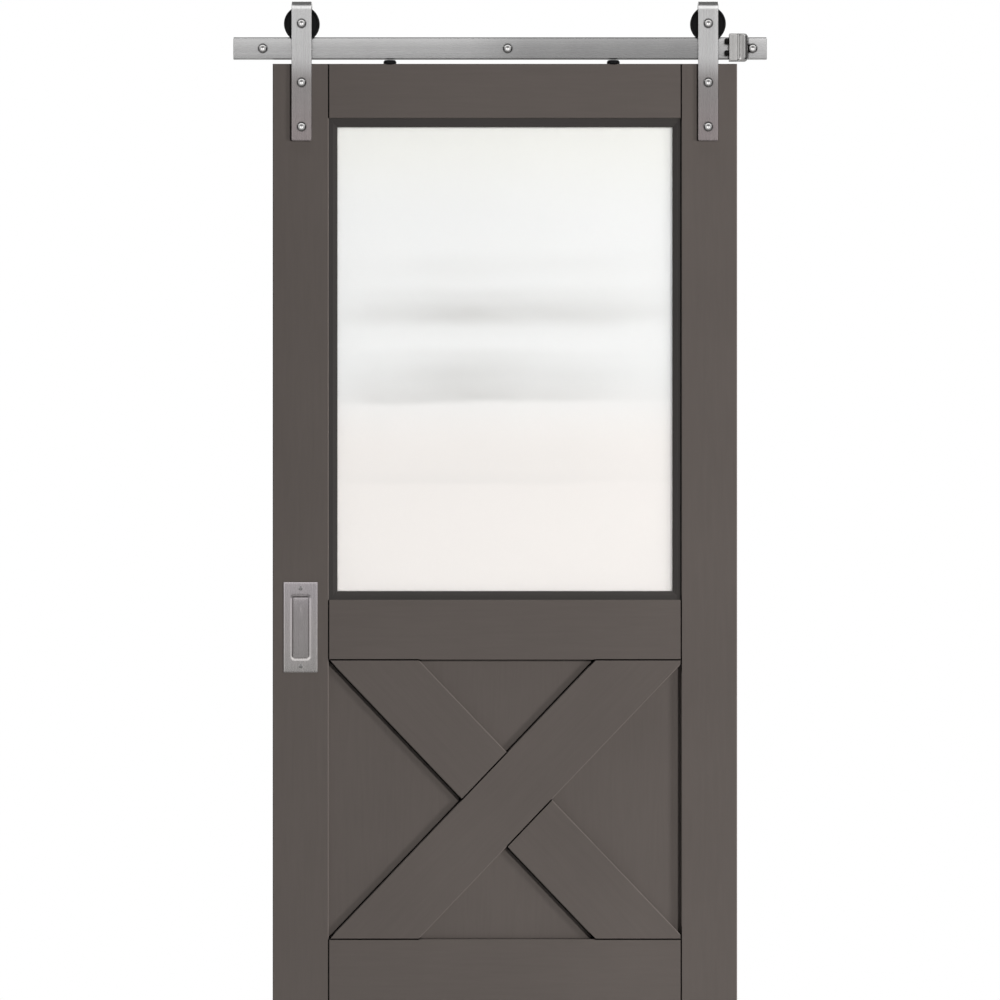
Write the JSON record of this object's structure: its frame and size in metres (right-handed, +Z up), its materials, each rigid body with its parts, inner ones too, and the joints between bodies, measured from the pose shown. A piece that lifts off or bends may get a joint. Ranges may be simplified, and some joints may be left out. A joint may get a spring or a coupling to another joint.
{
  "type": "sliding barn door",
  "caption": "Half-glazed sliding barn door with a crossed lower panel, hung by strap hangers on grooved wheels from a flat wall track.",
  "frame": {"origin": "wall plane, on the axis of the track's middle wall screw", "axes": "+X to the right as seen from the room, +Y into the wall, +Z up"},
  "size_m": [1.051, 0.12, 2.1901],
  "materials": {
    "painted_wood": "satin paint",
    "painted_bead": "satin paint",
    "dowel_wood": "bare",
    "frosted_glass": "satin etched",
    "black_rubber": "matt",
    "satin_steel": "satin",
    "cast_satin_metal": "satin",
    "bright_fasteners": "bright satin",
    "black_fasteners": "black oxide",
    "black_nylon": "fine satin",
    "bush_steel": "turned",
    "bearing_steel": "polished"
  },
  "bodies": {
    "track": {"track": "satin_steel", "left_spacer": "satin_steel", "centre_spacer": "satin_steel", "right_spacer": "satin_steel", "wall_screws": "bright_fasteners", "stop_body": "cast_satin_metal", "stop_set_screws": "black_fasteners", "upper_bumper": "black_rubber", "lower_bumper": "black_rubber", "guide_plate": "satin_steel", "guide_fin": "black_nylon", "guide_screws": "bright_fasteners"},
    "door": {"left_stile": "painted_wood", "right_stile": "painted_wood", "top_rail": "painted_wood", "lock_rail": "painted_wood", "bottom_rail": "painted_wood", "rail_dowels": "dowel_wood", "lower_panel": "painted_wood", "front_brace_long": "painted_wood", "front_brace_upper": "painted_wood", "front_brace_lower": "painted_wood", "rear_brace_long": "painted_wood", "rear_brace_upper": "painted_wood", "rear_brace_lower": "painted_wood", "glass_pane": "frosted_glass", "front_glazing_tape": "black_rubber", "rear_glazing_tape": "black_rubber", "setting_blocks": "black_rubber", "front_bead_top": "painted_bead", "front_bead_bottom": "painted_bead", "front_bead_left": "painted_bead", "front_bead_right": "painted_bead", "rear_bead_top": "painted_bead", "rear_bead_bottom": "painted_bead", "rear_bead_left": "painted_bead", "rear_bead_right": "painted_bead", "flush_pull": "satin_steel", "pull_screws": "bright_fasteners", "left_hanger": "satin_steel", "right_hanger": "satin_steel", "hanger_bolts": "bright_fasteners", "hanger_nuts": "bright_fasteners", "left_axle_bolt": "bright_fasteners", "right_axle_bolt": "bright_fasteners", "axle_nuts": "bright_fasteners", "axle_bushes": "bush_steel", "left_bearing_inner": "bearing_steel", "right_bearing_inner": "bearing_steel", "left_jump_disc": "black_nylon", "right_jump_disc": "black_nylon", "disc_screws": "black_fasteners"},
    "left_wheel": {"left_wheel": "black_nylon", "left_bearing_outer": "bearing_steel", "left_bearing_balls": "bearing_steel"},
    "right_wheel": {"right_wheel": "black_nylon", "right_bearing_outer": "bearing_steel", "right_bearing_balls": "bearing_steel"}
  },
  "joints": [
    {"name": "door_slide", "type": "slide", "parent": "track", "child": "door", "axis": [1, 0, 0], "range_m": [-0.125, 0.0115]},
    {"name": "left_wheel_turn", "type": "hinge", "parent": "door", "child": "left_wheel", "pos_m": [-0.4055, -0.034, 0.0481], "axis": [0, 1, 0], "range_deg": [-277, 27]},
    {"name": "right_wheel_turn", "type": "hinge", "parent": "door", "child": "right_wheel", "pos_m": [0.3945, -0.034, 0.0481], "axis": [0, 1, 0], "range_deg": [-277, 27]}
  ],
  "couplings": [
    {"joint": "left_wheel_turn", "follows": "door_slide", "rad_per_m": 38.462},
    {"joint": "right_wheel_turn", "follows": "door_slide", "rad_per_m": 38.462}
  ]
}
